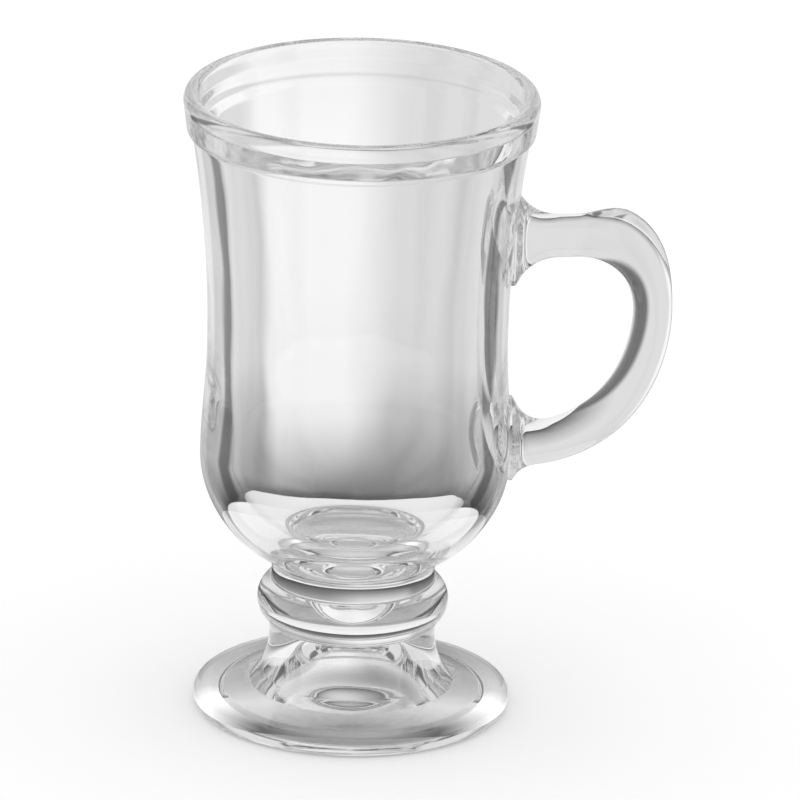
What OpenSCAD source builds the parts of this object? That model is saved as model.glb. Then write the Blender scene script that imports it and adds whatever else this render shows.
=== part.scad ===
// Irish coffee mug: a waisted glass bowl with a banded lip, on a knop, a flared stem and a round foot,
// with a loop handle on its side. Millimetres. The bowl's axis is Z, the foot stands on z = 0,
// and the handle points along +X.

/* [Foot] */
// Diameter of the foot
foot_d = 70.4; // [60:0.2:84]
// Thickness of the foot's rounded edge
foot_edge_t = 4.2; // [3:0.1:5]
// Height of the foot where the stem stands on it
foot_h = 5.6; // [5:0.1:9]
// Width of the flat resting ring under the foot, round the hollow
ring_w = 4.1; // [2:0.1:8]

/* [Hollow under the mug] */
// Height that the hollow levels out to, towards the resting ring
hollow_edge_h = 0.8; // [0.4:0.1:1.4]
// Radius of the hollow at half its height
hollow_mid_r = 12.5; // [10:0.1:13.5]
// Squareness of the hollow's bell shape
hollow_power = 3.4; // [2.8:0.1:4.2]
// How far the top of the hollow rises into the knop
hollow_rise = 0.6; // [0.3:0.1:2]

/* [Stem] */
// Height of the stem, from the foot to the knop
stem_h = 11.9; // [8:0.1:24]
// Diameter of the stem under the knop
stem_d = 36.7; // [32:0.1:38]
// Diameter of the stem where it flares onto the foot
stem_base_d = 45; // [42:0.5:52]
// Power of the stem's flare: more keeps it straight for longer
stem_power = 2.4; // [1.8:0.1:3]

/* [Knop] */
// Diameter of the knop at its widest
knop_d = 42.3; // [39:0.1:48]
// Radius of the knop's rounded side
knop_round_r = 5.4; // [4.5:0.1:6.2]
// Height of the knop with its short necks
knop_h = 14.5; // [13.8:0.1:18]
// Diameter of the neck between knop and bowl
neck_d = 36; // [32:0.1:38]
// Radius of the creases above and below the knop
crease_r = 0.8; // [0.3:0.1:1.2]

/* [Bowl] */
// Height of the bowl, from the neck to the top of the lip
bowl_h = 110.5; // [100:0.5:130]
// Outer diameter of the lip
rim_d = 78; // [72:0.5:90]
// Height of the rounded lip
lip_h = 2.4; // [1.5:0.1:3]
// Thickness of the lip
lip_t = 3.6; // [2.8:0.1:5]
// Height of the band round the lip
band_h = 8.5; // [6:0.1:14]
// How much the band narrows downwards, on the radius
band_taper = 0.8; // [0:0.1:1.5]
// How far the band stands out from the wall under it
band_step = 1.2; // [0.8:0.1:2]
// Height of the soft edge that leads from the wall out to the band
band_edge_h = 1.1; // [0.8:0.1:4]
// Height of the mouth, from the top of the lip down to the flare inside it
mouth_h = 4; // [3.2:0.1:6]
// Height of the straight flare inside the mouth, which leads in to the thicker wall
flare_h = 5; // [3:0.1:8]
// Outer diameter of the waist
waist_d = 66; // [58:0.5:72]
// Height of the waist above the neck
waist_h = 53; // [46:0.5:60]
// Outer diameter of the belly
belly_d = 68.4; // [60:0.2:76]
// Height of the short neck under the bowl
neck_h = 2.5; // [1.5:0.1:4]
// Depth of the belly's rounded underside, as far as the axis
belly_h = 28.8; // [24:0.2:34]
// Radius of the corner between neck and belly
neck_round_r = 1.6; // [0.5:0.1:2.5]
// Thickness of the wall above the belly
wall_t = 5; // [4:0.1:6]
// Thickness of the glass from the neck up to the floor of the bowl
floor_t = 6; // [5:0.5:12]
// Height over which the inside rounds in to its floor
floor_round_h = 22.5; // [18:0.5:30]
// Squareness of the inside's bottom: 2 is round, more is flatter
floor_squareness = 2.2; // [2:0.1:3]

/* [Handle] */
// Clear width of the finger gap, from the waist to the grip
gap_w = 27.75; // [24:0.05:36]
// Height of the finger gap between the roots of the two arms
gap_h = 39; // [34:0.2:44]
// Height of the lower arm's upper side above the neck, at its root
gap_lift = 32.8; // [28:0.1:36]
// Thickness of the handle's arms, seen from the side
arm_t = 9.45; // [8:0.05:11]
// How far the thumb rest stands up from the outer side of the upper corner
thumb_rise = 3.45; // [1:0.05:5]
// Thickness of the grip
grip_t = 8.6; // [7:0.1:10]
// Width of the handle, across its plane
handle_w = 10.4; // [8:0.1:13]
// Height of the grip's furthest point above the finger gap's lower end
grip_lift = 26; // [22:0.2:30]
// Radius of the blend on the upper arm's top
top_blend_r = 10; // [5:0.5:12]
// Radius of the blend under the upper arm
under_blend_r = 10; // [6:0.5:12]
// Radius of the blend on the lower arm's top
low_blend_r = 10; // [5:0.5:12]
// Radius of the blend under the lower arm
base_blend_r = 5; // [2:0.5:9]
// Radius of the blends on the handle's two sides
side_blend_r = 3; // [2:0.5:6]

/* [Hidden] */
$fn = 128;
GLASS = [0.86, 0.89, 0.9, 0.5];

// Radii and heights that the pieces share
foot_r = foot_d/2;
stem_r = stem_d/2;
stem_base_r = stem_base_d/2;
neck_r = neck_d/2;
rim_r = rim_d/2;
waist_r = waist_d/2;
belly_r = belly_d/2;
stem_z = foot_h;
knop_z = stem_z + stem_h;
hollow_z = knop_z + hollow_rise;
bowl_z = knop_z + knop_h;
top_z = bowl_z + bowl_h;
lip_z = top_z - lip_h;
band_z = top_z - band_h;
edge_z = band_z - band_edge_h;
waist_z = bowl_z + waist_h;
floor_z = bowl_z + floor_t;
under_z = bowl_z + neck_h;
belly_z = under_z + belly_h*sqrt(1 - pow(neck_r/belly_r, 2));
band_r = rim_r - band_taper;
shoulder_r = band_r - band_step;
lip_in_r = rim_r - lip_t;
mouth_z = top_z - mouth_h;
flare_z = mouth_z - flare_h;
round_z = floor_z + floor_round_h;

// Points of a circle's arc from angle a0 to a1
function arc(c, r, a0, a1, n) = [for (i = [0:n]) let(a = a0 + (a1 - a0)*i/n) c + r*[cos(a), sin(a)]];

// Points that round the corner b of the line a, b, c
function rounded(a, b, c, n) = [for (i = [0:n]) let(t = i/n) (1 - t)*(1 - t)*a + 2*t*(1 - t)*b + t*t*c];

// Point of a cubic curve with ends a, d and handles b, c, and its direction there
function cubic(a, b, c, d, t) = pow(1 - t, 3)*a + 3*t*pow(1 - t, 2)*b + 3*t*t*(1 - t)*c + pow(t, 3)*d;
function cubic_way(a, b, c, d, t) = pow(1 - t, 2)*(b - a) + 2*t*(1 - t)*(c - b) + t*t*(d - c);

// Smooth change from a to b while t runs from 0 to 1
function ease(a, b, t) = a + (b - a)*(1 - cos(180*t))/2;

// Outer radius of the bowl's wall: flaring above the waist, swelling into the belly, closing on the neck
function wall_r(z) =
    z > waist_z ? waist_r + (shoulder_r - waist_r)*pow((z - waist_z)/(edge_z - waist_z), 2)
    : z > belly_z ? ease(belly_r, waist_r, (z - belly_z)/(waist_z - belly_z))
    : belly_r*sqrt(1 - pow((belly_z - z)/belly_h, 2));

// Outside of the bowl, from the neck up to the top of the wall under the band's soft edge
function wall_outline() =
    let(corner = [neck_r, under_z],
        start_z = belly_z - belly_h*sqrt(1 - pow((neck_r + neck_round_r)/belly_r, 2)),
        start_a = asin((belly_z - start_z)/belly_h))
    concat(
        [[neck_r, bowl_z]],
        rounded(corner - [0, neck_round_r], corner, [neck_r + neck_round_r, start_z], 5),
        [for (i = [1:18]) let(a = start_a*(1 - i/18)) [belly_r*cos(a), belly_z - belly_h*sin(a)]],
        [for (i = [1:12]) let(z = belly_z + (waist_z - belly_z)*i/12) [wall_r(z), z]],
        [for (i = [1:14]) let(z = waist_z + (edge_z - waist_z)*i/14) [wall_r(z), z]]);

// Band and lip: soft lower edge, tapered side, rounded top
function lip_outline() =
    let(step = band_r - wall_r(band_z), lip_r = lip_t/2)
    concat(
        [for (i = [1:8]) let(z = edge_z + band_edge_h*i/8) [wall_r(z) + ease(0, step, i/8), z]],
        [for (i = [0:12]) let(a = 180*i/12) [rim_r - lip_r + lip_r*cos(a), lip_z + lip_h*sin(a)]]);

// Inside of the bowl, from the mouth down to the middle of the floor
function inside_outline() =
    let(r = waist_r - wall_t, p = 2/floor_squareness)
    concat(
        [[lip_in_r, mouth_z]],
        [for (i = [0:12]) let(z = flare_z + (waist_z - flare_z)*i/12) [wall_r(z) - wall_t, z]],
        [for (i = [0:20]) let(a = 90*i/20) [r*pow(cos(a), p), round_z - floor_round_h*pow(sin(a), p)]]);

module bowl() {
    color(GLASS)
        rotate_extrude()
            polygon(concat([[0, bowl_z]], wall_outline(), lip_outline(), inside_outline()));
}

// Radius of the bell-shaped hollow under the mug at a height, and its outline between two radii
function hollow_r(z) = hollow_mid_r*pow((hollow_z - hollow_edge_h)/(z - hollow_edge_h) - 1, 1/hollow_power);
function hollow_outline(r0, r1, n) =
    [for (i = [0:n])
        let(r = r0 + (r1 - r0)*i/n)
        [r, hollow_edge_h + (hollow_z - hollow_edge_h)/(1 + pow(r/hollow_mid_r, hollow_power))]];

// Knop between two short necks, with rounded creases, over the top of the hollow
module knop() {
    mid_z = knop_z + knop_h/2;
    mid_r = knop_d/2 - knop_round_r;
    reach = knop_round_r + crease_r;
    up = acos((neck_r + crease_r - mid_r)/reach);
    down = acos((stem_r + crease_r - mid_r)/reach);
    color(GLASS)
        rotate_extrude()
            polygon(concat(
                hollow_outline(0, hollow_r(knop_z), 6),
                [[stem_r, knop_z]],
                arc([stem_r + crease_r, mid_z - reach*sin(down)], crease_r, 180, 180 - down, 5),
                arc([mid_r, mid_z], knop_round_r, -down, up, 20),
                arc([neck_r + crease_r, mid_z + reach*sin(up)], crease_r, 180 + up, 180, 5),
                [[neck_r, bowl_z], [0, bowl_z]]));
}

// Stem that flares down onto the foot, round the hollow
module stem() {
    flare = stem_base_r - stem_r;
    color(GLASS)
        rotate_extrude()
            polygon(concat(
                hollow_outline(hollow_r(knop_z), hollow_r(stem_z), 14),
                [for (i = [0:12]) let(t = 1 - i/12) [stem_r + flare*pow(t, stem_power), knop_z - stem_h*t]]));
}

// Foot with a rounded edge and a flat resting ring, round the hollow
module foot() {
    round_r = foot_edge_t/2;
    edge_r = foot_r - round_r;
    ring_r = edge_r - ring_w;
    color(GLASS)
        rotate_extrude()
            polygon(concat(
                hollow_outline(hollow_r(stem_z), ring_r - hollow_edge_h, 12),
                [[ring_r, 0]],
                arc([edge_r, round_r], round_r, -90, 90, 14),
                [[stem_base_r, foot_h]]));
}

// Handle: the middle line leaves the wall level, turns over the thumb rest, runs down the grip
// and sweeps back to the belly
gap_z = bowl_z + gap_lift;
arm_z = gap_z + gap_h + arm_t/2;
low_z = gap_z - arm_t/2;
grip_x = waist_r + gap_w + grip_t/2;
grip_z = gap_z + grip_lift;
root_x = wall_r(arm_z);
low_root_x = wall_r(low_z);
sink = 3;
thumb_at = 0.34;
arm_end = [grip_x - gap_w*0.6, arm_z];
corner_b = [grip_x - gap_w*0.33, arm_z];
corner_c = [grip_x, grip_z + (arm_z - grip_z)*0.68];
grip = [grip_x, grip_z];
sweep_b = [grip_x, grip_z - (grip_z - low_z)*0.25];
sweep_c = [grip_x - gap_w*0.14, low_z - arm_t*0.2];
low_end = [low_root_x - sink, low_z];

// How far a blend of radius r stands out from an arm, at a distance d from the wall
function blend(d, r) = d >= r ? 0 : let(e = max(d, 0.06*r)) r - sqrt(r*r - pow(r - e, 2));

// Stations along the handle: middle, direction, and half thickness outside, inside and across
function station(p, way, out, in, out_r, in_r, d) =
    [p, way/norm(way), out + blend(d, out_r), in + blend(d, in_r), handle_w/2 + blend(d, side_blend_r)];
function stations() = concat(
    [for (i = [0:14])
        let(x = root_x - sink + (arm_end[0] - root_x + sink)*pow(i/14, 1.4))
        station([x, arm_z], [1, 0], arm_t/2, arm_t/2, top_blend_r, under_blend_r, x - root_x)],
    [for (i = [1:18])
        let(t = i/18, half = ease(arm_t, grip_t, t)/2, swell = t < thumb_at ? t/thumb_at : (1 - t)/(1 - thumb_at))
        station(cubic(arm_end, corner_b, corner_c, grip, t), cubic_way(arm_end, corner_b, corner_c, grip, t),
            half + ease(0, thumb_rise, swell), half, top_blend_r, under_blend_r, gap_w)],
    [for (i = [1:30])
        let(t = i/30, half = ease(grip_t, arm_t, t)/2, p = cubic(grip, sweep_b, sweep_c, low_end, t))
        station(p, cubic_way(grip, sweep_b, sweep_c, low_end, t),
            half, half, base_blend_r, low_blend_r, p[0] - low_root_x)]);

// Oval ring of points round one station
SIDES = 28;
function ring(s) = [for (j = [0:SIDES - 1])
    let(a = 360*j/SIDES, n = [-s[1][1], s[1][0]], q = s[0] + n*cos(a)*(cos(a) > 0 ? s[2] : s[3]))
    [q[0], s[4]*sin(a), q[1]]];

module handle_sweep() {
    rings = [for (s = stations()) ring(s)];
    last = len(rings) - 1;
    points = [for (r = rings) each r];
    sides = [for (i = [0:last - 1], j = [0:SIDES - 1])
        let(k = (j + 1) % SIDES, a = i*SIDES, b = a + SIDES)
        each [[a + j, b + k, b + j], [a + j, a + k, b + k]]];
    ends = [[for (j = [SIDES - 1:-1:0]) j], [for (j = [0:SIDES - 1]) last*SIDES + j]];
    polyhedron(points, concat(sides, ends));
}

// The handle's two ends are cut to the outside of the bowl
module handle() {
    color(GLASS)
        difference() {
            handle_sweep();
            rotate_extrude()
                polygon(concat([[0, bowl_z]], wall_outline(), [[0, edge_z]]));
        }
}

bowl();
handle();
knop();
stem();
foot();
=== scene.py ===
"""Irish coffee mug in clear pressed glass, standing on a pale floor."""
import math

import bmesh
import bpy
import numpy as np
from mathutils import Matrix, Vector


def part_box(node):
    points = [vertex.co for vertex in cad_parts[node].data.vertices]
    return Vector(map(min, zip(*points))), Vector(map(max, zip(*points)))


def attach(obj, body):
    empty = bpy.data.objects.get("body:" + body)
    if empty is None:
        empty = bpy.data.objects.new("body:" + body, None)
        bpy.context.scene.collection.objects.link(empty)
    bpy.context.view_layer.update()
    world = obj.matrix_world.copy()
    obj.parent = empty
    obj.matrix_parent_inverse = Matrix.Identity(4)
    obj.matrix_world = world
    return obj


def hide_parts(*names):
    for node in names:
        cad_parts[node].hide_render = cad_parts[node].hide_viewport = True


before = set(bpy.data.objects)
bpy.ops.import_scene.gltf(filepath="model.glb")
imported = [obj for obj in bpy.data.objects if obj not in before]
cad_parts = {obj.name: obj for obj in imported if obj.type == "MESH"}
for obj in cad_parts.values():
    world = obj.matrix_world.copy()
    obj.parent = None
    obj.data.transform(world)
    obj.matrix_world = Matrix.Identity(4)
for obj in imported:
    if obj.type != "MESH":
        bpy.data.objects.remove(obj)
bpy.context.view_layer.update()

MM = 0.001

# Heights and radii of the pieces, from the frame
FOOT_LOW, FOOT_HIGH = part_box("foot")
STEM_LOW, STEM_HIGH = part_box("stem")
KNOP_LOW, KNOP_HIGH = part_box("knop")
BOWL_LOW, BOWL_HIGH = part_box("bowl")
FOOT_R = FOOT_HIGH.x
STEM_BASE_R = STEM_HIGH.x
STEM_Z = STEM_LOW.z
KNOP_R = KNOP_HIGH.x
KNOP_Z = KNOP_LOW.z
BOWL_Z = BOWL_LOW.z
RIM_R = BOWL_HIGH.x
TOP_Z = BOWL_HIGH.z

# Sizes that the frame's boxes don't show
FOOT_EDGE_T = 4.2*MM
RING_W = 4.1*MM
HOLLOW_EDGE_H = 0.8*MM
HOLLOW_H = KNOP_Z + 0.6*MM
HOLLOW_R = 12.5*MM
HOLLOW_POWER = 3.4
STEM_POWER = 2.4
STEM_R = 18.35*MM
NECK_R = 18.0*MM
KNOP_ROUND_R = 5.4*MM
CREASE_R = 0.8*MM
NECK_H = 2.5*MM
NECK_ROUND_R = 1.6*MM
BELLY_R = 34.2*MM
BELLY_H = 28.8*MM
WAIST_R = 33.0*MM
WAIST_Z = BOWL_Z + 53.0*MM
SHOULDER_R = 37.0*MM
BAND_H = 8.5*MM
BAND_EDGE_H = 1.1*MM
BAND_TAPER = 0.8*MM
LIP_H = 2.4*MM
LIP_IN_R = 35.4*MM
WALL_T = 5.0*MM
MOUTH_H = 4.0*MM
FLARE_H = 5.0*MM
FLOOR_Z = BOWL_Z + 6.0*MM
FLOOR_ROUND_H = 22.5*MM
FLOOR_SQUARENESS = 2.2
BELLY_Z = BOWL_Z + NECK_H + BELLY_H*math.sqrt(1 - (NECK_R/BELLY_R)**2)
LIP_Z = TOP_Z - LIP_H
BAND_Z = TOP_Z - BAND_H
BAND_R = RIM_R - BAND_TAPER
EDGE_Z = BAND_Z - BAND_EDGE_H
MOUTH_Z = TOP_Z - MOUTH_H
FLARE_Z = MOUTH_Z - FLARE_H

# Handle, from the finger gap that it leaves
GAP_W = 27.75*MM
GAP_H = 39.0*MM
GAP_Z = BOWL_Z + 32.8*MM
ARM_T = 9.45*MM
THUMB_RISE = 3.45*MM
GRIP_T = 8.6*MM
THUMB_AT = 0.34
HANDLE_W = 10.4*MM
GRIP_Z = GAP_Z + 26.0*MM
TOP_BLEND_R = 10.0*MM
UNDER_BLEND_R = 10.0*MM
LOW_BLEND_R = 10.0*MM
BASE_BLEND_R = 5.0*MM
SIDE_BLEND_R = 3.0*MM
SINK = 3.0*MM
ARM_Z = GAP_Z + GAP_H + ARM_T/2
LOW_Z = GAP_Z - ARM_T/2
GRIP_X = WAIST_R + GAP_W + GRIP_T/2

# Shares of the finger gap's width, the handle's height and its thickness that place the bends of its curves
ARM_END = 0.6
CORNER_OUT = 0.33
CORNER_UP = 0.68
SWEEP_DOWN = 0.25
SWEEP_IN = 0.14
SWEEP_DIP = 0.2

# Share of a root's blend at which it stops widening, and the power that sets its rings closer together
BLEND_CUT = 0.06
RING_POWER = 1.4

# Clear glass, the waves that the mould leaves in it, and the roughness of its polish
TINT = 0.96
GLASS_IOR = 1.52
WAVE_SCALE = 60.0
WAVE_STRETCH = 0.5
WAVE_H = 0.3*MM
POLISH = (0.0, 0.06)

# How finely the round surfaces are divided
AROUND = 256
HANDLE_AROUND = 64

# Distances below which two points or heights are the same
SAME = 1e-9
WELD = 1e-7


def ease(a, b, t):
    """Smooth change from a to b while t runs from 0 to 1."""
    return a + (b - a)*(1 - math.cos(math.pi*t))/2


def arc(centre_r, centre_z, radius, start, end, steps):
    """Points of a circle's arc, between two angles in degrees."""
    angles = np.radians(np.linspace(start, end, steps + 1))
    return [(centre_r + radius*math.cos(a), centre_z + radius*math.sin(a)) for a in angles]


def rounded(a, b, c, steps):
    """Points that round the corner b of the line a, b, c."""
    a, b, c = np.array(a), np.array(b), np.array(c)
    return [tuple((1 - t)**2*a + 2*t*(1 - t)*b + t*t*c) for t in np.linspace(0, 1, steps + 1)]


def wall_r(z):
    """Outer radius of the bowl: flaring above the waist, swelling into the belly, closing on the neck."""
    if z > WAIST_Z:
        return WAIST_R + (SHOULDER_R - WAIST_R)*((z - WAIST_Z)/(EDGE_Z - WAIST_Z))**2
    if z > BELLY_Z:
        return ease(BELLY_R, WAIST_R, (z - BELLY_Z)/(WAIST_Z - BELLY_Z))
    return BELLY_R*math.sqrt(1 - ((BELLY_Z - z)/BELLY_H)**2)


def outside_outline():
    """Outside of the bowl, from the neck seam up to the band's lower edge."""
    corner_z = BOWL_Z + NECK_H
    start_r = NECK_R + NECK_ROUND_R
    start_z = BELLY_Z - BELLY_H*math.sqrt(1 - (start_r/BELLY_R)**2)
    start = math.asin((BELLY_Z - start_z)/BELLY_H)
    points = [(NECK_R, BOWL_Z)]
    points += rounded((NECK_R, corner_z - NECK_ROUND_R), (NECK_R, corner_z), (start_r, start_z), 10)
    points += [(BELLY_R*math.cos(a), BELLY_Z - BELLY_H*math.sin(a)) for a in np.linspace(start, 0, 61)[1:]]
    points += [(wall_r(z), z) for z in np.linspace(BELLY_Z, WAIST_Z, 41)[1:]]
    points += [(wall_r(z), z) for z in np.linspace(WAIST_Z, EDGE_Z, 61)[1:]]
    return points


def lip_outline():
    """Band and lip: soft lower edge, tapered side, rounded top."""
    lip_r = (RIM_R - LIP_IN_R)/2
    step = BAND_R - wall_r(BAND_Z)
    points = [(wall_r(EDGE_Z + BAND_EDGE_H*t) + ease(0, step, t), EDGE_Z + BAND_EDGE_H*t)
              for t in np.linspace(0, 1, 25)[1:]]
    points += [(BAND_R + BAND_TAPER*t, BAND_Z + (LIP_Z - BAND_Z)*t) for t in np.linspace(0, 1, 11)[1:-1]]
    points += [(RIM_R - lip_r + lip_r*math.cos(a), LIP_Z + LIP_H*math.sin(a))
               for a in np.linspace(0, math.pi, 33)]
    return points


def inside_outline():
    """Inside of the bowl, from the lip past the mouth's chamfer down to the middle of the floor."""
    r, round_z, p = WAIST_R - WALL_T, FLOOR_Z + FLOOR_ROUND_H, 2/FLOOR_SQUARENESS
    taper = wall_r(FLARE_Z) - WALL_T - LIP_IN_R
    points = [(LIP_IN_R, z) for z in np.linspace(LIP_Z, MOUTH_Z, 5)[1:]]
    points += [(LIP_IN_R + taper*t, MOUTH_Z - FLARE_H*t) for t in np.linspace(0, 1, 13)[1:]]
    points += [(wall_r(z) - WALL_T, z) for z in np.linspace(FLARE_Z, WAIST_Z, 81)[1:]]
    points += [(r, z) for z in np.linspace(WAIST_Z, round_z, 9)[1:]]
    points += [(r*math.cos(a)**p, round_z - FLOOR_ROUND_H*math.sin(a)**p)
               for a in np.linspace(0, math.pi/2, 91)[1:-1]]
    return points + [(0.0, FLOOR_Z)]


def hollow_z(r):
    """Height of the bell-shaped hollow under the mug, at a radius."""
    return HOLLOW_EDGE_H + (HOLLOW_H - HOLLOW_EDGE_H)/(1 + (r/HOLLOW_R)**HOLLOW_POWER)


def hollow_r(z):
    """Radius of the hollow at a height."""
    return HOLLOW_R*((HOLLOW_H - HOLLOW_EDGE_H)/(z - HOLLOW_EDGE_H) - 1)**(1/HOLLOW_POWER)


def hollow_outline(r_from, r_to, steps):
    return [(r, hollow_z(r)) for r in np.linspace(r_from, r_to, steps + 1)]


def knop_outline():
    """Knop between two short necks, with rounded creases, over the top of the hollow."""
    mid_z = (KNOP_Z + BOWL_Z)/2
    mid_r = KNOP_R - KNOP_ROUND_R
    reach = KNOP_ROUND_R + CREASE_R
    up = math.degrees(math.acos((NECK_R + CREASE_R - mid_r)/reach))
    down = math.degrees(math.acos((STEM_R + CREASE_R - mid_r)/reach))
    low_z = mid_z - reach*math.sin(math.radians(down))
    high_z = mid_z + reach*math.sin(math.radians(up))
    points = hollow_outline(0, hollow_r(KNOP_Z), 12)
    points += [(STEM_R, KNOP_Z)]
    points += arc(STEM_R + CREASE_R, low_z, CREASE_R, 180, 180 - down, 10)
    points += arc(mid_r, mid_z, KNOP_ROUND_R, -down, up, 48)[1:]
    points += arc(NECK_R + CREASE_R, high_z, CREASE_R, 180 + up, 180, 10)[1:]
    return points + [(NECK_R, BOWL_Z), (0.0, BOWL_Z)]


def stem_outline():
    """Stem that flares down onto the foot, round the hollow."""
    flare, height = STEM_BASE_R - STEM_R, KNOP_Z - STEM_Z
    inside = hollow_outline(hollow_r(KNOP_Z), hollow_r(STEM_Z), 24)
    outside = [(STEM_R + flare*t**STEM_POWER, KNOP_Z - height*t) for t in np.linspace(1, 0, 33)]
    return inside + outside + inside[:1]


def foot_outline():
    """Foot with a rounded edge and a flat resting ring, round the hollow."""
    round_r = FOOT_EDGE_T/2
    edge_r, edge_z = FOOT_R - round_r, FOOT_EDGE_T
    ring_r = edge_r - RING_W
    inside = hollow_outline(hollow_r(STEM_Z), ring_r - HOLLOW_EDGE_H, 24)
    points = inside + [(ring_r, 0.0)]
    points += arc(edge_r, round_r, round_r, -90, 90, 32)
    slope = np.linspace(0, 1, 21)[1:]
    points += [(edge_r + (STEM_BASE_R - edge_r)*t, edge_z + (STEM_Z - edge_z)*t) for t in slope]
    return points + inside[:1]


def blend(d, radius):
    """How much the handle widens at a distance d from the wall that it is fused to."""
    if d >= radius:
        return 0.0
    near = max(d, BLEND_CUT*radius)
    return radius - math.sqrt(radius**2 - (radius - near)**2)


def bezier(a, b, c, d, t):
    """Point on a curve from a to d, and the way that it heads there."""
    a, b, c, d = (np.array(point) for point in (a, b, c, d))
    u = 1 - t
    point = u**3*a + 3*u*u*t*b + 3*u*t*t*c + t**3*d
    way = u*u*(b - a) + 2*u*t*(c - b) + t*t*(d - c)
    return point, way/np.linalg.norm(way)


def handle_stations():
    """Centre, way, outer half, inner half and half width of each ring, from the upper root to the lower."""
    root_x, low_root_x = wall_r(ARM_Z), wall_r(LOW_Z)
    arm_end = (GRIP_X - GAP_W*ARM_END, ARM_Z)
    corner_b = (GRIP_X - GAP_W*CORNER_OUT, ARM_Z)
    corner_c = (GRIP_X, GRIP_Z + (ARM_Z - GRIP_Z)*CORNER_UP)
    grip = (GRIP_X, GRIP_Z)
    sweep_b = (GRIP_X, GRIP_Z - (GRIP_Z - LOW_Z)*SWEEP_DOWN)
    sweep_c = (GRIP_X - GAP_W*SWEEP_IN, LOW_Z - ARM_T*SWEEP_DIP)
    low_end = (low_root_x - SINK, LOW_Z)
    stations = []
    for t in np.linspace(0, 1, 37)**RING_POWER:
        x = root_x - SINK + (arm_end[0] - root_x + SINK)*t
        d = x - root_x
        stations.append((np.array((x, ARM_Z)), np.array((1.0, 0.0)), ARM_T/2 + blend(d, TOP_BLEND_R),
                         ARM_T/2 + blend(d, UNDER_BLEND_R), HANDLE_W/2 + blend(d, SIDE_BLEND_R)))
    for t in np.linspace(0, 1, 49)[1:]:
        point, way = bezier(arm_end, corner_b, corner_c, grip, t)
        swell = t/THUMB_AT if t < THUMB_AT else (1 - t)/(1 - THUMB_AT)
        half = ease(ARM_T, GRIP_T, t)/2
        stations.append((point, way, half + ease(0, THUMB_RISE, swell), half, HANDLE_W/2))
    for t in np.linspace(0, 1, 81)[1:]:
        point, way = bezier(grip, sweep_b, sweep_c, low_end, t)
        d = point[0] - low_root_x
        half = ease(GRIP_T, ARM_T, t)/2
        stations.append((point, way, half + blend(d, BASE_BLEND_R), half + blend(d, LOW_BLEND_R),
                         HANDLE_W/2 + blend(d, SIDE_BLEND_R)))
    return stations


def handle_loft():
    """Oval rings along the handle, with both ends sunk into the wall."""
    angles = np.linspace(0, 2*math.pi, HANDLE_AROUND, endpoint=False)
    verts, faces = [], []
    for point, way, outer, inner, half_w in handle_stations():
        for a in angles:
            reach = math.cos(a)*(outer if math.cos(a) > 0 else inner)
            verts.append((point[0] - way[1]*reach, half_w*math.sin(a), point[1] + way[0]*reach))
    rings = len(verts)//HANDLE_AROUND
    for ring in range(rings - 1):
        for i in range(HANDLE_AROUND):
            j = (i + 1) % HANDLE_AROUND
            low, high = ring*HANDLE_AROUND, (ring + 1)*HANDLE_AROUND
            faces.append((low + i, high + i, high + j, low + j))
    faces.append(tuple(range(HANDLE_AROUND)))
    faces.append(tuple(reversed(range((rings - 1)*HANDLE_AROUND, rings*HANDLE_AROUND))))
    return make_piece("handle_glass", verts, faces, np.zeros(len(faces)))


def boolean(piece, cutter, operation):
    """Mesh of a piece cut by another, with each face's own material."""
    cut = piece.modifiers.new("cut", "BOOLEAN")
    cut.object = cutter
    cut.operation = operation
    cut.solver = "EXACT"
    cut.material_mode = "TRANSFER"
    graph = bpy.context.evaluated_depsgraph_get()
    mesh = bpy.data.meshes.new_from_object(piece.evaluated_get(graph))
    piece.modifiers.remove(cut)
    return mesh


def paint(mesh, material):
    """Gives every face of a mesh one material."""
    mesh.materials.clear()
    mesh.materials.append(material)
    mesh.polygons.foreach_set("material_index", np.zeros(len(mesh.polygons), np.int32))


def fuse(bowl, handle):
    """Seats the handle on the bowl's wall, and marks the seam on both."""
    mark = bpy.data.materials.new("mark")
    plain = handle.data.copy()
    paint(handle.data, mark)
    open_bowl = boolean(bowl, handle, "DIFFERENCE")
    footprint = boolean(bowl, handle, "INTERSECT")
    handle.data = plain
    whole = bpy.data.objects.new("cutter", bowl.data.copy())
    bpy.context.scene.collection.objects.link(whole)
    paint(whole.data, SEAM)
    seated = boolean(handle, whole, "DIFFERENCE")
    bpy.data.objects.remove(whole)

    joined = bmesh.new()
    for mesh, in_seam in ((open_bowl, False), (footprint, True)):
        marked = [slot.name for slot in mesh.materials].index("mark")
        kept = bmesh.new()
        kept.from_mesh(mesh)
        cut_faces = [face for face in kept.faces if face.material_index == marked]
        bmesh.ops.delete(kept, geom=cut_faces, context="FACES")
        if in_seam:
            for face in kept.faces:
                face.material_index = 1
        kept.to_mesh(mesh)
        kept.free()
        joined.from_mesh(mesh)
    bmesh.ops.remove_doubles(joined, verts=joined.verts, dist=WELD)
    whole_mesh = bpy.data.meshes.new("bowl_glass")
    joined.to_mesh(whole_mesh)
    joined.free()
    whole_mesh.materials.append(GLASS)
    whole_mesh.materials.append(SEAM)
    bowl.data = whole_mesh
    handle.data = seated
    for piece in (bowl, handle):
        sharpen_seams(piece.data)
    bpy.data.materials.remove(mark)


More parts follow.
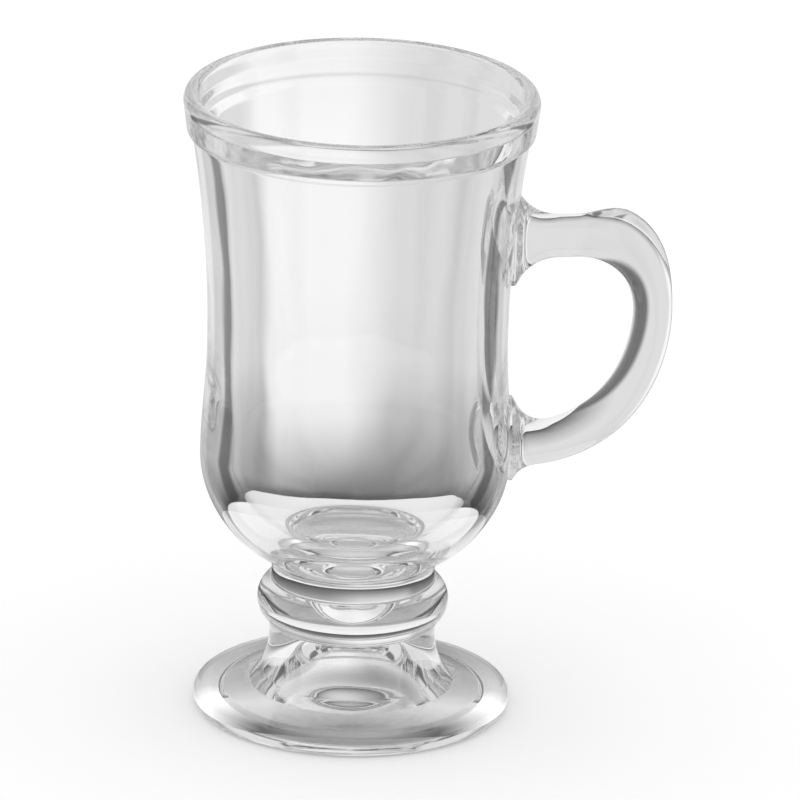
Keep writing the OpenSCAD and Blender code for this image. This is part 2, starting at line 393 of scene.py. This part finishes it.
def revolve(name, outline, seams=()):
    """Closed solid of revolution. Seams are the steps of the outline whose faces lie in a fused seam."""
    closes = outline[0] == outline[-1]
    angles = np.linspace(0, 2*math.pi, AROUND, endpoint=False)
    verts, rows = [], []
    for r, z in outline[:-1] if closes else outline:
        if r < SAME:
            rows.append([len(verts)]*AROUND)
            verts.append((0.0, 0.0, z))
        else:
            rows.append(list(range(len(verts), len(verts) + AROUND)))
            verts += [(r*math.cos(a), r*math.sin(a), z) for a in angles]
    if closes:
        rows.append(rows[0])
    faces, in_seam = [], []
    for step, (low, high) in enumerate(zip(rows, rows[1:])):
        for i in range(AROUND):
            j = (i + 1) % AROUND
            faces.append(list(dict.fromkeys((low[i], low[j], high[j], high[i]))))
            in_seam.append(step in seams)
    return make_piece(name, verts, faces, in_seam)


def make_piece(name, verts, faces, in_seam):
    """Smooth mesh object with the glass on its outside and the clear seam where it is fused."""
    mesh = bpy.data.meshes.new(name)
    mesh.from_pydata(verts, [], faces)
    mesh.materials.append(GLASS)
    mesh.materials.append(SEAM)
    mesh.polygons.foreach_set("material_index", np.array(in_seam, np.int32))
    mesh.polygons.foreach_set("use_smooth", np.ones(len(faces), bool))
    mesh.validate()
    piece = bpy.data.objects.new(name, mesh)
    bpy.context.scene.collection.objects.link(piece)
    sharpen_seams(mesh)
    return piece


def sharpen_seams(mesh):
    """Keeps the shading of the outside apart from that of the seam."""
    kinds = {}
    for face in mesh.polygons:
        for key in face.edge_keys:
            kinds.setdefault(key, set()).add(face.material_index)
    for edge in mesh.edges:
        edge.use_edge_sharp = len(kinds.get(edge.key, ())) > 1


def glass_material():
    """Clear pressed glass, with the faint waves that the mould leaves and a slightly uneven polish."""
    mat = bpy.data.materials.new("pressed_glass")
    mat.use_nodes = True
    nodes, links = mat.node_tree.nodes, mat.node_tree.links
    shader = nodes["Principled BSDF"]
    shader.inputs["Base Color"].default_value = (TINT, TINT, TINT, 1)
    shader.inputs["IOR"].default_value = GLASS_IOR
    shader.inputs["Transmission Weight"].default_value = 1.0
    coords = nodes.new("ShaderNodeTexCoord")
    stretch = nodes.new("ShaderNodeMapping")
    stretch.inputs["Scale"].default_value = (1, 1, WAVE_STRETCH)
    links.new(coords.outputs["Object"], stretch.inputs["Vector"])
    waves = nodes.new("ShaderNodeTexNoise")
    waves.inputs["Scale"].default_value = WAVE_SCALE
    waves.inputs["Detail"].default_value = 1.0
    links.new(stretch.outputs["Vector"], waves.inputs["Vector"])
    bump = nodes.new("ShaderNodeBump")
    bump.inputs["Strength"].default_value = 1.0
    bump.inputs["Distance"].default_value = WAVE_H
    links.new(waves.outputs["Fac"], bump.inputs["Height"])
    links.new(bump.outputs["Normal"], shader.inputs["Normal"])
    polish = nodes.new("ShaderNodeMapRange")
    polish.inputs["To Min"].default_value = POLISH[0]
    polish.inputs["To Max"].default_value = POLISH[1]
    links.new(waves.outputs["Fac"], polish.inputs["Value"])
    links.new(polish.outputs["Result"], shader.inputs["Roughness"])
    return mat


def seam_material():
    """Fused seam inside the glass, which light passes without bending."""
    mat = bpy.data.materials.new("fused_seam")
    mat.use_nodes = True
    nodes, links = mat.node_tree.nodes, mat.node_tree.links
    nodes.remove(nodes["Principled BSDF"])
    clear = nodes.new("ShaderNodeBsdfTransparent")
    links.new(clear.outputs["BSDF"], nodes["Material Output"].inputs["Surface"])
    return mat


GLASS = glass_material()
SEAM = seam_material()


def in_plane(outline, z):
    """Steps of an outline that lie flat at a height."""
    steps = enumerate(zip(outline, outline[1:]))
    return {i for i, (a, b) in steps if abs(a[1] - z) + abs(b[1] - z) < SAME}


def build_pieces():
    """The five pieces, by the node that each replaces."""
    bowl = [(0.0, BOWL_Z)] + outside_outline() + lip_outline() + inside_outline()
    knop, stem, foot = knop_outline(), stem_outline(), foot_outline()
    body, handle = revolve("bowl_glass", bowl, in_plane(bowl, BOWL_Z)), handle_loft()
    fuse(body, handle)
    return {
        "bowl": body,
        "handle": handle,
        "knop": revolve("knop_glass", knop, in_plane(knop, KNOP_Z) | in_plane(knop, BOWL_Z)),
        "stem": revolve("stem_glass", stem, in_plane(stem, STEM_Z) | in_plane(stem, KNOP_Z)),
        "foot": revolve("foot_glass", foot, in_plane(foot, STEM_Z)),
    }


pieces = build_pieces()
for node, piece in pieces.items():
    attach(piece, "root")
    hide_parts(node)


# Camera, from the ellipses of the lip and the foot in the photograph
HANDLE_TURN = math.radians(6)
CAMERA_D = 2.4
CAMERA_H = 0.9401
CAMERA_PAN = 0.003988
CAMERA_TILT = math.radians(19.9039)
CAMERA_ROLL = math.radians(1.1936)
LENS = 522.5
SENSOR_W = 36


def make_camera():
    """Camera that looks down on the mug, with the handle turned a little away from it."""
    data = bpy.data.cameras.new("camera")
    data.lens = LENS
    data.sensor_width = SENSOR_W
    camera = bpy.data.objects.new("camera", data)
    bpy.context.scene.collection.objects.link(camera)
    forward = Vector((math.sin(CAMERA_PAN)*math.cos(CAMERA_TILT),
                      math.cos(CAMERA_PAN)*math.cos(CAMERA_TILT),
                      -math.sin(CAMERA_TILT)))
    right = forward.cross(Vector((0, 0, 1))).normalized()
    up = right.cross(forward)
    roll_right = math.cos(CAMERA_ROLL)*right + math.sin(CAMERA_ROLL)*up
    roll_up = -math.sin(CAMERA_ROLL)*right + math.cos(CAMERA_ROLL)*up
    axes = Matrix((roll_right, roll_up, -forward)).transposed().to_4x4()
    axes.translation = Vector((0, -CAMERA_D, CAMERA_H))
    camera.matrix_world = Matrix.Rotation(-HANDLE_TURN, 4, "Z") @ axes
    bpy.context.scene.camera = camera


make_camera()


# Light tent round the mug, out of the camera's sight. Its angles are in degrees from straight behind the mug,
# positive to the right
TENT_R = 0.085
TENT_H = 0.25
TENT_AROUND = 360

# How far the tent is open behind the mug, by the angle and by the height
OPEN_ACROSS = ((-24, 0), (-20, 1), (-2, 1), (8, 0))
OPEN_UPWARD = ((0.006, 0), (0.04, 1), (0.09, 1), (0.13, 0.6))

# Brightness of the tent's cloth, its dark strips, its hem near the floor, darkened as painted shade, and its
# roof
PALE = 0.76
DARK = 0.14
HEM_PAINTED_SHADE = 0.03
HEM_PAINTED_SHADE_H = 0.05
ROOF = 0.06
ROOF_EDGE_H = 0.05

# Middle and half width of each dark strip, and how softly it ends
STRIPS = ((-66, 6), (64, 6), (-112, 5), (112, 5))
STRIP_SOFT = 5

# Floor: half its side, the share of light that it gives back, its glow, and its glow under the foot, lowered
# there as painted shade, by the distance behind the axis
FLOOR_REACH = 6.0
FLOOR_GREY = 0.8
FLOOR_GLOW = 0.25
PAINTED_SHADE_UNDER_FOOT = (
    (-0.034, 0.1), (-0.029, 0.12), (-0.023, 0.05), (-0.016, 0.3),
    (-0.008, 0.55), (0, 0.3), (0.034, 0.12),
)
PAINTED_SHADE_REACH = 0.04

# How often light may be bent or mirrored in the glass, and how often it may cross seams and the tent's opening
BOUNCES = 96
CROSSINGS = 64


def ramp(tree, value, levels):
    """Brightness that runs through a row of levels, each at a place from 0 to 1."""
    node = tree.nodes.new("ShaderNodeValToRGB")
    tree.links.new(value, node.inputs["Fac"])
    stops = node.color_ramp.elements
    stops.remove(stops[1])
    for i, (place, level) in enumerate(levels):
        stop = stops.new(place) if i else stops[0]
        stop.position, stop.color = place, (level, level, level, 1)
    return node.outputs["Color"]


def feed(tree, socket, value):
    """Links a socket to another one, or sets it to a number."""
    if isinstance(value, bpy.types.NodeSocket):
        tree.links.new(value, socket)
    else:
        socket.default_value = value


def map_range(tree, value, start, end, first=0.0, last=1.0, smooth="LINEAR"):
    """Changes from the first value to the last one while another runs from start to end."""
    node = tree.nodes.new("ShaderNodeMapRange")
    node.interpolation_type = smooth
    given = {"Value": value, "From Min": start, "From Max": end, "To Min": first, "To Max": last}
    for name, each in given.items():
        feed(tree, node.inputs[name], each)
    return node.outputs["Result"]


def share_of_turn(degrees):
    """Place on a ramp that runs once round the mug, with straight behind it in the middle."""
    return degrees/360 + 0.5


def tent_cloth():
    """Pale cloth with dark strips, a hem darkened by painted shade, a darker roof and an opening with soft
    edges.
    """
    mat = bpy.data.materials.new("tent_cloth")
    mat.use_nodes = True
    tree = mat.node_tree
    nodes, links = tree.nodes, tree.links
    nodes.remove(nodes["Principled BSDF"])
    place = nodes.new("ShaderNodeNewGeometry")
    split = nodes.new("ShaderNodeSeparateXYZ")
    links.new(place.outputs["Position"], split.inputs["Vector"])
    height = split.outputs["Z"]
    angle = nodes.new("ShaderNodeMath")
    angle.operation = "ARCTAN2"
    links.new(split.outputs["X"], angle.inputs[0])
    links.new(split.outputs["Y"], angle.inputs[1])
    share = map_range(tree, angle.outputs["Value"], HANDLE_TURN - math.pi, HANDLE_TURN + math.pi)
    levels = []
    for middle, half in STRIPS:
        levels += [(middle - half - STRIP_SOFT, PALE), (middle - half, DARK)]
        levels += [(middle + half, DARK), (middle + half + STRIP_SOFT, PALE)]
    wall = ramp(tree, share, [(share_of_turn(degrees), level) for degrees, level in sorted(levels)])
    # Painted shade: the cloth's glow falls towards the floor
    hem_painted_shade = map_range(tree, height, 0.0, HEM_PAINTED_SHADE_H, HEM_PAINTED_SHADE, wall)
    level = map_range(tree, height, TENT_H - ROOF_EDGE_H, TENT_H, hem_painted_shade, ROOF, "SMOOTHSTEP")
    cloth = nodes.new("ShaderNodeEmission")
    links.new(level, cloth.inputs["Strength"])
    across = ramp(tree, share, [(share_of_turn(degrees), level) for degrees, level in OPEN_ACROSS])
    up_share = map_range(tree, height, 0.0, TENT_H)
    upward = ramp(tree, up_share, [(z/TENT_H, level) for z, level in OPEN_UPWARD])
    opening = nodes.new("ShaderNodeMath")
    opening.operation = "MULTIPLY"
    links.new(across, opening.inputs[0])
    links.new(upward, opening.inputs[1])
    clear = nodes.new("ShaderNodeBsdfTransparent")
    mixed = nodes.new("ShaderNodeMixShader")
    links.new(opening.outputs["Value"], mixed.inputs["Fac"])
    links.new(cloth.outputs["Emission"], mixed.inputs[1])
    links.new(clear.outputs["BSDF"], mixed.inputs[2])
    links.new(mixed.outputs["Shader"], nodes["Material Output"].inputs["Surface"])
    return mat


def make_tent():
    """Round tent with a flat roof, which only the glass shows."""
    ring = bmesh.new()
    raised = Matrix.Translation((0, 0, TENT_H/2))
    bmesh.ops.create_cone(ring, cap_ends=True, segments=TENT_AROUND, radius1=TENT_R, radius2=TENT_R,
                          depth=TENT_H, matrix=raised)
    floor_side = [face for face in ring.faces if face.normal.z < -0.5]
    bmesh.ops.delete(ring, geom=floor_side, context="FACES")
    mesh = bpy.data.meshes.new("tent")
    ring.to_mesh(mesh)
    ring.free()
    mesh.materials.append(tent_cloth())
    tent = bpy.data.objects.new("tent", mesh)
    bpy.context.scene.collection.objects.link(tent)
    tent.visible_camera = False
    tent.visible_diffuse = False
    tent.visible_shadow = False


def make_floor():
    """White floor with the mug's shadow, and painted shade that darkens it under the foot."""
    side = FLOOR_REACH
    corners = [(-side, -side, 0), (side, -side, 0), (side, side, 0), (-side, side, 0)]
    mesh = bpy.data.meshes.new("floor")
    mesh.from_pydata(corners, [], [(0, 1, 2, 3)])
    floor = bpy.data.objects.new("floor", mesh)
    bpy.context.scene.collection.objects.link(floor)
    mat = bpy.data.materials.new("pale_floor")
    mat.use_nodes = True
    tree = mat.node_tree
    nodes, links = tree.nodes, tree.links
    nodes.remove(nodes["Principled BSDF"])
    diffuse = nodes.new("ShaderNodeBsdfDiffuse")
    diffuse.inputs["Color"].default_value = (FLOOR_GREY, FLOOR_GREY, FLOOR_GREY, 1)
    glow = nodes.new("ShaderNodeEmission")
    place = nodes.new("ShaderNodeNewGeometry")
    away = nodes.new("ShaderNodeVectorMath")
    away.operation = "LENGTH"
    links.new(place.outputs["Position"], away.inputs[0])
    behind = nodes.new("ShaderNodeVectorMath")
    behind.operation = "DOT_PRODUCT"
    behind.inputs[1].default_value = (math.sin(HANDLE_TURN), math.cos(HANDLE_TURN), 0)
    links.new(place.outputs["Position"], behind.inputs[0])
    # Painted shade under the foot: the floor's glow there follows the distance behind the axis
    share = map_range(tree, behind.outputs["Value"], -PAINTED_SHADE_REACH, PAINTED_SHADE_REACH)
    painted_shade = ramp(tree, share, [(depth/PAINTED_SHADE_REACH/2 + 0.5, level) for depth, level in PAINTED_SHADE_UNDER_FOOT])
    inner_r = FOOT_R - FOOT_EDGE_T
    level = map_range(tree, away.outputs["Value"], inner_r, FOOT_R, painted_shade, FLOOR_GLOW, "SMOOTHSTEP")
    links.new(level, glow.inputs["Strength"])
    lit = nodes.new("ShaderNodeAddShader")
    links.new(diffuse.outputs["BSDF"], lit.inputs[0])
    links.new(glow.outputs["Emission"], lit.inputs[1])
    links.new(lit.outputs["Shader"], nodes["Material Output"].inputs["Surface"])
    mesh.materials.append(mat)


def make_world():
    """White surroundings, seen alike by the camera and the glass."""
    world = bpy.data.worlds.new("studio")
    bpy.context.scene.world = world
    world.use_nodes = True
    background = world.node_tree.nodes["Background"]
    background.inputs["Color"].default_value = (1, 1, 1, 1)
    background.inputs["Strength"].default_value = 1.0


make_tent()
make_floor()
make_world()

scene = bpy.context.scene
scene.view_settings.view_transform = "Standard"
scene.cycles.max_bounces = BOUNCES
scene.cycles.transmission_bounces = BOUNCES
scene.cycles.glossy_bounces = BOUNCES
scene.cycles.transparent_max_bounces = CROSSINGS
